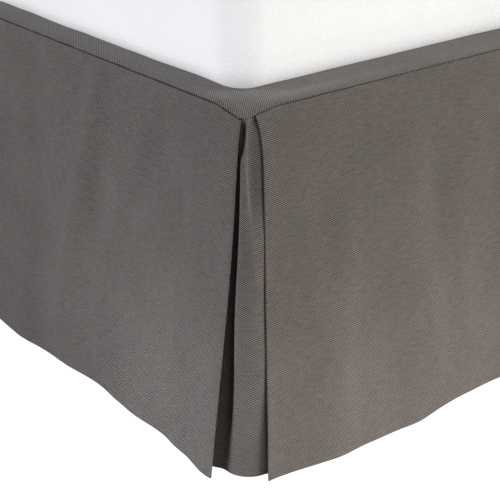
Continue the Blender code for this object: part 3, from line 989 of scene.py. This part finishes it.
def rounded_levels(low, high, low_edge, top_edge, low_steps, side_steps, top_steps):
    """Give the insets and heights of a block's rings, its lower and upper edges rounded over."""
    quarter = math.radians(90.0)
    levels = []
    for step in range(low_steps + 1):
        angle = quarter * step / low_steps
        levels.append((low_edge * (1.0 - math.sin(angle)), low + low_edge * (1.0 - math.cos(angle))))
    for step in range(1, side_steps):
        levels.append((0.0, low + low_edge + (high - top_edge - low - low_edge) * step / side_steps))
    for step in range(top_steps + 1):
        angle = quarter * step / top_steps
        levels.append((top_edge * (1.0 - math.cos(angle)), high - top_edge * (1.0 - math.sin(angle))))
    return levels


MATTRESS_CORNER = 0.036
MATTRESS_TOP_EDGE = 0.032
MATTRESS_LOW_EDGE = 0.025
MATTRESS_BULGES = (
    Ripple(0.310, 0.9, 0.4, 0.0007),
    Ripple(0.173, -0.7, 1.7, 0.0006),
    Ripple(0.094, 0.5, 3.6, 0.0004),
    Ripple(0.051, -0.4, 5.0, 0.0002),
)
CROWN_PARTS = (0.04, 0.10, 0.18, 0.28, 0.40, 0.54, 0.70, 0.86)


class BEDSKIRT_OT_mattress(bpy.types.Operator):
    """Lay the mattress on the deck"""

    bl_idname = "bed_skirt.mattress"
    bl_label = "Lay Mattress"

    def execute(self, context):
        low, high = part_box("mattress")
        middle = (low + high) / 2.0
        counts = side_counts(low, high, 0.012)
        levels = rounded_levels(low.z, high.z, MATTRESS_LOW_EDGE, MATTRESS_TOP_EDGE, 10, 16, 10)
        reach = (high.x - low.x) / 2.0 - MATTRESS_TOP_EDGE
        levels = [(MATTRESS_LOW_EDGE + reach * part, low.z) for part in reversed(CROWN_PARTS)] + levels
        levels += [(MATTRESS_TOP_EDGE + reach * part, high.z) for part in CROWN_PARTS]
        rings = []
        for inset, height in levels:
            shape = outline(
                (low.x + inset, low.y + inset), (high.x - inset, high.y - inset),
                max(MATTRESS_CORNER - inset, 0.004 + inset * 0.05), 14, counts,
            )
            away = shape - (middle.x, middle.y)
            away /= np.maximum(np.linalg.norm(away, axis=1, keepdims=True), 1e-6)
            run = shape[:, 0] + shape[:, 1]
            side = 1.0 - abs(height - middle.z) / (high.z - middle.z)
            swell = 0.0025 * math.sin(math.pi * min(side * 1.4, 1.0) / 2.0) - 0.0015
            bulge = rippled(MATTRESS_BULGES, run, height) * (0.0 if inset > MATTRESS_TOP_EDGE else 1.0)
            shape = shape + away * (swell + bulge)[:, None] * (0.0 if inset > MATTRESS_TOP_EDGE else 1.0)
            rings.append(level_ring(shape, height))
        piece = ring_piece("mattress_cover", rings, "mattress_cloth")
        dress(piece, ["mattress"])
        return {"FINISHED"}


BASE_CORNER = 0.040
BASE_TOP_EDGE = 0.015
BASE_LOW_EDGE = 0.006


class BEDSKIRT_OT_base(bpy.types.Operator):
    """Make the covered box base that carries the deck"""

    bl_idname = "bed_skirt.base"
    bl_label = "Make Base"

    def execute(self, context):
        low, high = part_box("bed_base")
        counts = side_counts(low, high, 0.040)
        rings = []
        for inset, height in rounded_levels(low.z, high.z, BASE_LOW_EDGE, BASE_TOP_EDGE, 6, 6, 10):
            shape = outline(
                (low.x + inset, low.y + inset), (high.x - inset, high.y - inset), BASE_CORNER - inset, 16, counts
            )
            rings.append(level_ring(shape, height))
        piece = ring_piece("bed_base_cover", rings, "base_cloth")
        dress(piece, ["bed_base"])
        return {"FINISHED"}


def tree_input(tree, name, kind, value):
    """Add a named input to a node tree."""
    socket = tree.interface.new_socket(name=name, in_out="INPUT", socket_type=kind)
    if value is not None:
        socket.default_value = value
    return socket


def tree_node(tree, kind, settings=None, sockets=None):
    """Add one geometry node: its settings first, then the values or links of its sockets."""
    node = tree.nodes.new(kind)
    for setting, value in (settings or {}).items():
        setattr(node, setting, value)
    for key, value in (sockets or {}).items():
        if isinstance(value, bpy.types.NodeSocket):
            tree.links.new(value, node.inputs[key])
        else:
            node.inputs[key].default_value = value
    return node


def tree_end(tree, geometry, finish_name):
    """End a tree in Realize Instances and Set Material."""
    real = tree_node(tree, "GeometryNodeRealizeInstances", None, {"Geometry": geometry})
    painted = tree_node(
        tree, "GeometryNodeSetMaterial", None, {"Geometry": real.outputs[0], "Material": material(finish_name)}
    )
    smoothed = tree_node(tree, "GeometryNodeSetShadeSmooth", None, {"Geometry": painted.outputs[0]})
    last = tree_node(tree, "NodeGroupOutput")
    tree.links.new(smoothed.outputs[0], last.inputs[0])


def grown(name, guide_mesh, tree, values):
    """Run a tree on a guide and keep the result as a plain mesh object."""
    guide = bpy.data.objects.new(name + "_guide", guide_mesh)
    bpy.context.collection.objects.link(guide)
    modifier = guide.modifiers.new("grow", "NODES")
    modifier.node_group = tree
    sockets = {item.name: item.identifier for item in tree.interface.items_tree if item.in_out == "INPUT"}
    for input_name, value in values.items():
        modifier[sockets[input_name]] = value
    graph = bpy.context.evaluated_depsgraph_get()
    mesh = bpy.data.meshes.new_from_object(guide.evaluated_get(graph), depsgraph=graph)
    mesh.name = name
    guide.modifiers.remove(modifier)
    bpy.data.objects.remove(guide, do_unlink=True)
    piece = bpy.data.objects.new(name, mesh)
    bpy.context.collection.objects.link(piece)
    return piece


def stitch_tree():
    """Build the tree that sews a row of slanted stitches along a line of points."""
    tree = bpy.data.node_groups.new("stitch_row", "GeometryNodeTree")
    tree.interface.new_socket(name="Geometry", in_out="OUTPUT", socket_type="NodeSocketGeometry")
    tree_input(tree, "Geometry", "NodeSocketGeometry", None)
    tree_input(tree, "Pitch", "NodeSocketFloat", 0.009)
    tree_input(tree, "Length", "NodeSocketFloat", 0.006)
    tree_input(tree, "Thread", "NodeSocketFloat", 0.0002)
    tree_input(tree, "Slant", "NodeSocketFloat", 0.5)
    tree_input(tree, "Facing", "NodeSocketVector", (0.0, 1.0, 0.0))
    first = tree_node(tree, "NodeGroupInput")
    given = {socket.name: socket for socket in first.outputs}

    line = tree_node(tree, "GeometryNodeMeshToCurve", None, {0: given["Geometry"]})
    row = tree_node(tree, "GeometryNodeResampleCurve", {"mode": "LENGTH"}, {0: line.outputs[0]})
    tree.links.new(given["Pitch"], row.inputs["Length"])
    tangent = tree_node(tree, "GeometryNodeInputTangent")
    along = tree_node(
        tree, "FunctionNodeAlignRotationToVector", {"axis": "X"}, {"Vector": tangent.outputs[0]}
    )
    facing = tree_node(
        tree, "FunctionNodeAlignRotationToVector", {"axis": "Z", "pivot_axis": "X"},
        {"Rotation": along.outputs[0], "Vector": given["Facing"]},
    )
    uneven = tree_node(
        tree, "FunctionNodeRandomValue", {"data_type": "FLOAT"}, {2: -0.10, 3: 0.10, "Seed": 7}
    )
    slant = tree_node(tree, "ShaderNodeMath", {"operation": "ADD"}, {0: given["Slant"], 1: uneven.outputs[1]})
    turn = tree_node(tree, "ShaderNodeCombineXYZ", None, {"Z": slant.outputs[0]})
    euler = tree_node(tree, "FunctionNodeEulerToRotation", None, {0: turn.outputs[0]})
    slanted = tree_node(
        tree, "FunctionNodeRotateRotation", {"rotation_space": "LOCAL"},
        {"Rotation": facing.outputs[0], "Rotate By": euler.outputs[0]},
    )

    half = tree_node(tree, "ShaderNodeMath", {"operation": "MULTIPLY"}, {0: given["Length"], 1: 0.5})
    back = tree_node(tree, "ShaderNodeMath", {"operation": "MULTIPLY"}, {0: given["Length"], 1: -0.5})
    rise = tree_node(tree, "ShaderNodeMath", {"operation": "MULTIPLY"}, {0: given["Thread"], 1: 3.0})
    ends = [
        tree_node(tree, "ShaderNodeCombineXYZ", None, {"X": end.outputs[0]}) for end in (back, half)
    ]
    top = tree_node(tree, "ShaderNodeCombineXYZ", None, {"Z": rise.outputs[0]})
    arch = tree_node(
        tree, "GeometryNodeCurveQuadraticBezier", None,
        {"Resolution": 5, "Start": ends[0].outputs[0], "Middle": top.outputs[0], "End": ends[1].outputs[0]},
    )
    profile = tree_node(
        tree, "GeometryNodeCurvePrimitiveCircle", None, {"Resolution": 5, "Radius": given["Thread"]}
    )
    stitch = tree_node(
        tree, "GeometryNodeCurveToMesh", None,
        {"Curve": arch.outputs[0], "Profile Curve": profile.outputs[0], "Fill Caps": True},
    )
    sewn = tree_node(
        tree, "GeometryNodeInstanceOnPoints", None,
        {"Points": row.outputs[0], "Instance": stitch.outputs[0], "Rotation": slanted.outputs[0]},
    )
    tree_end(tree, sewn.outputs[0], "thread_fibre")
    return tree


class BEDSKIRT_OT_stitches(bpy.types.Operator):
    """Sew the turned hems down inside the drop panels"""

    bl_idname = "bed_skirt.stitches"
    bl_label = "Sew Hems"

    def execute(self, context):
        sizes = context.scene.skirt_sizes
        tree = stitch_tree()
        half = CLOTH / 2.0
        for panel in PANELS:
            corner = Vector((CENTRE_X + panel.side_sign * SIDE_X, FOOT_Y, 0.0))
            down = DROP_LENGTH - HEM_DEPTH + TURN_STEP
            depth = down / (DROP_LENGTH - CLOTH)
            along = np.arange(WING + 0.010, panel.length - 0.020, 0.005)
            if panel.node == "foot_panel":
                along = along[along < panel.length - WING - 0.010]
            out = panel_out(panel.drop, along, depth) + relief(panel.drop.folds, along, down, sizes)
            out = out - CLOTH - HEM_EXTRA - 0.0001
            top = SEAM_HEIGHT - SEAM_GAP - half
            height = top + (HEM_CLEARANCE + half - top) * depth
            points = [
                corner + panel.along_way * float(place) + panel.out_way * float(reach) + Vector((0.0, 0.0, height))
                for place, reach in zip(along, out)
            ]
            line = bpy.data.meshes.new("stitch_line")
            line.from_pydata(points, [(k, k + 1) for k in range(len(points) - 1)], [])
            values = {
                "Pitch": sizes.stitch_pitch,
                "Length": sizes.stitch_length,
                "Thread": sizes.thread,
                "Facing": tuple(-panel.out_way),
            }
            piece = grown("hem_stitches_" + panel.node, line, tree, values)
            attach(piece, BODY)
        return {"FINISHED"}


def leg_tree():
    """Build the tree that turns one tapered leg with eased edges."""
    tree = bpy.data.node_groups.new("turned_leg", "GeometryNodeTree")
    tree.interface.new_socket(name="Geometry", in_out="OUTPUT", socket_type="NodeSocketGeometry")
    tree_input(tree, "Geometry", "NodeSocketGeometry", None)
    tree_input(tree, "Place", "NodeSocketVector", (0.0, 0.0, 0.0))
    first = tree_node(tree, "NodeGroupInput")
    given = {socket.name: socket for socket in first.outputs}
    line = tree_node(tree, "GeometryNodeMeshToCurve", None, {0: given["Geometry"]})
    profile = tree_node(tree, "GeometryNodeCurvePrimitiveCircle", None, {"Resolution": 64, "Radius": 1.0})
    radius = tree_node(
        tree, "GeometryNodeInputNamedAttribute", {"data_type": "FLOAT"}, {"Name": "turned_radius"}
    )
    sized = tree_node(
        tree, "GeometryNodeSetCurveRadius", None, {"Curve": line.outputs[0], "Radius": radius.outputs[0]}
    )
    swept = tree_node(
        tree, "GeometryNodeCurveToMesh", None,
        {"Curve": sized.outputs[0], "Profile Curve": profile.outputs[0], "Fill Caps": True},
    )
    if "Scale" in swept.inputs:
        tree.links.new(radius.outputs[0], swept.inputs["Scale"])
    placed = tree_node(
        tree, "GeometryNodeTransform", None, {"Geometry": swept.outputs[0], "Translation": given["Place"]}
    )
    tree_end(tree, placed.outputs[0], "leg_wood")
    return tree


LEG_ROWS = 24
LEG_FOOT_EASE = 0.003
LEG_TOP_EASE = 0.0015


class BEDSKIRT_OT_legs(bpy.types.Operator):
    """Turn the four tapered legs and stand them under the base"""

    bl_idname = "bed_skirt.legs"
    bl_label = "Turn Legs"

    def execute(self, context):
        tree = leg_tree()
        for number in range(1, 5):
            node = f"bed_leg_{number}"
            low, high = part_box(node)
            middle = (low + high) / 2.0
            top_radius = (high.x - low.x) / 2.0
            foot_radius = top_radius * 2.0 / 3.0
            tall = high.z - low.z
            stations = []
            for step in range(5):
                angle = math.radians(90.0) * step / 4
                stations.append((LEG_FOOT_EASE * (1.0 - math.cos(angle)), LEG_FOOT_EASE * (1.0 - math.sin(angle))))
            stations += [(tall * step / LEG_ROWS, 0.0) for step in range(1, LEG_ROWS)]
            for step in range(4):
                angle = math.radians(90.0) * step / 3
                easing = LEG_TOP_EASE * (1.0 - math.cos(angle))
                stations.append((tall - LEG_TOP_EASE * (1.0 - math.sin(angle)), easing))
            line = bpy.data.meshes.new("leg_axis")
            points = [(0.0, 0.0, height) for height, _ in stations]
            line.from_pydata(points, [(k, k + 1) for k in range(len(points) - 1)], [])
            radii = line.attributes.new("turned_radius", "FLOAT", "POINT")
            for item, (height, easing) in zip(radii.data, stations):
                item.value = foot_radius + (top_radius - foot_radius) * height / tall - easing
            piece = grown(f"turned_leg_{number}", line, tree, {"Place": (middle.x, middle.y, low.z)})
            dress(piece, [node])
        return {"FINISHED"}


def area_light(name, target, azimuth, elevation, distance, size, power, colour):
    """Hang one soft light of a given width and height that looks at the target.

    The azimuth is measured from straight in front of the foot end, towards the side on the right.
    """
    data = bpy.data.lights.new(name, "AREA")
    data.shape = "RECTANGLE"
    data.size, data.size_y = size
    data.energy = power
    data.color = colour
    light = bpy.data.objects.new(name, data)
    bpy.context.collection.objects.link(light)
    turn = math.radians(azimuth)
    rise = math.radians(elevation)
    back = Vector((math.sin(turn) * math.cos(rise), -math.cos(turn) * math.cos(rise), math.sin(rise)))
    light.location = target + back * distance
    light.rotation_euler = back.to_track_quat("Z", "Y").to_euler()
    light.visible_camera = False
    return light


class BEDSKIRT_OT_stage(bpy.types.Operator):
    """Set the camera, the pale floor and the soft studio light"""

    bl_idname = "bed_skirt.stage"
    bl_label = "Set Stage"

    def execute(self, context):
        scene = context.scene
        studio = scene.studio_settings
        corner = Vector((DECK_HIGH.x, DECK_LOW.y, 0.0))

        data = bpy.data.cameras.new("camera")
        data.lens = LENS
        data.sensor_width = SENSOR
        data.clip_end = 200.0
        camera = bpy.data.objects.new("camera", data)
        context.collection.objects.link(camera)
        camera.location = corner + EYE_FROM_CORNER
        camera.rotation_euler = (math.radians(90.0) - EYE_DOWN, 0.0, EYE_ROUND)
        scene.camera = camera

        shape = bmesh.new()
        bmesh.ops.create_circle(shape, cap_ends=True, segments=96, radius=studio.floor_radius)
        mesh = bpy.data.meshes.new("floor")
        shape.to_mesh(mesh)
        shape.free()
        mesh.materials.append(material("floor_paint"))
        floor = bpy.data.objects.new("floor", mesh)
        context.collection.objects.link(floor)

        target = corner + Vector((0.0, 0.0, SEAM_HEIGHT / 2.0))
        broad = (2.0, 2.0)
        cool = (0.97, 0.97, 1.0)
        warm = (1.0, 0.965, 0.90)
        area_light("foot_light", target, -14.0, 22.0, 4.5, broad, studio.foot_power, cool)
        area_light("side_light", target, 124.0, 22.0, 4.8, (3.4, 2.0), studio.side_power, warm)
        area_light("fill_light", target, 66.0, 22.0, 4.8, broad, studio.fill_power, (1.0, 1.0, 1.0))
        area_light("back_light", target, -125.0, 36.0, 4.8, broad, studio.back_power, (1.0, 1.0, 1.0))
        foot_hem = corner + Vector((-0.07, 0.0, 0.01))
        area_light("foot_strip", foot_hem, -8.0, 4.0, 0.26, (0.22, 0.03), studio.foot_strip, cool)
        side_hem = corner + Vector((0.0, 0.20, 0.01))
        area_light("side_strip", side_hem, 90.0, 4.0, 0.22, (0.6, 0.03), studio.side_strip, warm)

        world = bpy.data.worlds.new("studio")
        scene.world = world
        world.use_nodes = True
        nodes = world.node_tree.nodes
        links = world.node_tree.links
        nodes["Background"].inputs["Strength"].default_value = studio.sky
        backdrop = nodes.new("ShaderNodeBackground")
        seen = nodes.new("ShaderNodeLightPath")
        shown = nodes.new("ShaderNodeMixShader")
        for shader in (nodes["Background"], backdrop):
            shader.inputs["Color"].default_value = (1.0, 1.0, 1.0, 1.0)
        links.new(seen.outputs["Is Camera Ray"], shown.inputs[0])
        links.new(nodes["Background"].outputs[0], shown.inputs[1])
        links.new(backdrop.outputs[0], shown.inputs[2])
        links.new(shown.outputs[0], nodes["World Output"].inputs["Surface"])
        scene.view_settings.view_transform = "Standard"
        scene.view_settings.look = "None"
        return {"FINISHED"}


class BEDSKIRT_PT_sidebar(bpy.types.Panel):
    """Lists the pieces of the bed skirt in the order in which they are made"""

    bl_idname = "BEDSKIRT_PT_sidebar"
    bl_label = "Bed Skirt"
    bl_space_type = "VIEW_3D"
    bl_region_type = "UI"
    bl_category = "Bed Skirt"

    def draw(self, context):
        layout = self.layout
        for operator in OPERATORS:
            layout.operator(operator.bl_idname)
        for group in (context.scene.skirt_sizes, context.scene.skirt_finish, context.scene.studio_settings):
            box = layout.box()
            for name in group.__annotations__:
                box.prop(group, name)


OPERATORS = (
    BEDSKIRT_OT_stage,
    BEDSKIRT_OT_base,
    BEDSKIRT_OT_legs,
    BEDSKIRT_OT_deck,
    BEDSKIRT_OT_underlays,
    BEDSKIRT_OT_drop_panels,
    BEDSKIRT_OT_stitches,
    BEDSKIRT_OT_mattress,
)
GROUPS = {"skirt_sizes": SkirtSizes, "skirt_finish": SkirtFinish, "studio_settings": StudioSettings}


def register():
    for name, group in GROUPS.items():
        bpy.utils.register_class(group)
        setattr(bpy.types.Scene, name, bpy.props.PointerProperty(type=group))
    for operator in OPERATORS:
        bpy.utils.register_class(operator)
    bpy.utils.register_class(BEDSKIRT_PT_sidebar)


def unregister():
    bpy.utils.unregister_class(BEDSKIRT_PT_sidebar)
    for operator in reversed(OPERATORS):
        bpy.utils.unregister_class(operator)
    for name, group in GROUPS.items():
        delattr(bpy.types.Scene, name)
        bpy.utils.unregister_class(group)


def main():
    register()
    bpy.ops.bed_skirt.stage()
    bpy.ops.bed_skirt.base()
    bpy.ops.bed_skirt.legs()
    bpy.ops.bed_skirt.deck()
    bpy.ops.bed_skirt.underlays()
    bpy.ops.bed_skirt.drop_panels()
    bpy.ops.bed_skirt.stitches()
    bpy.ops.bed_skirt.mattress()


if __name__ == "__main__":
    main()
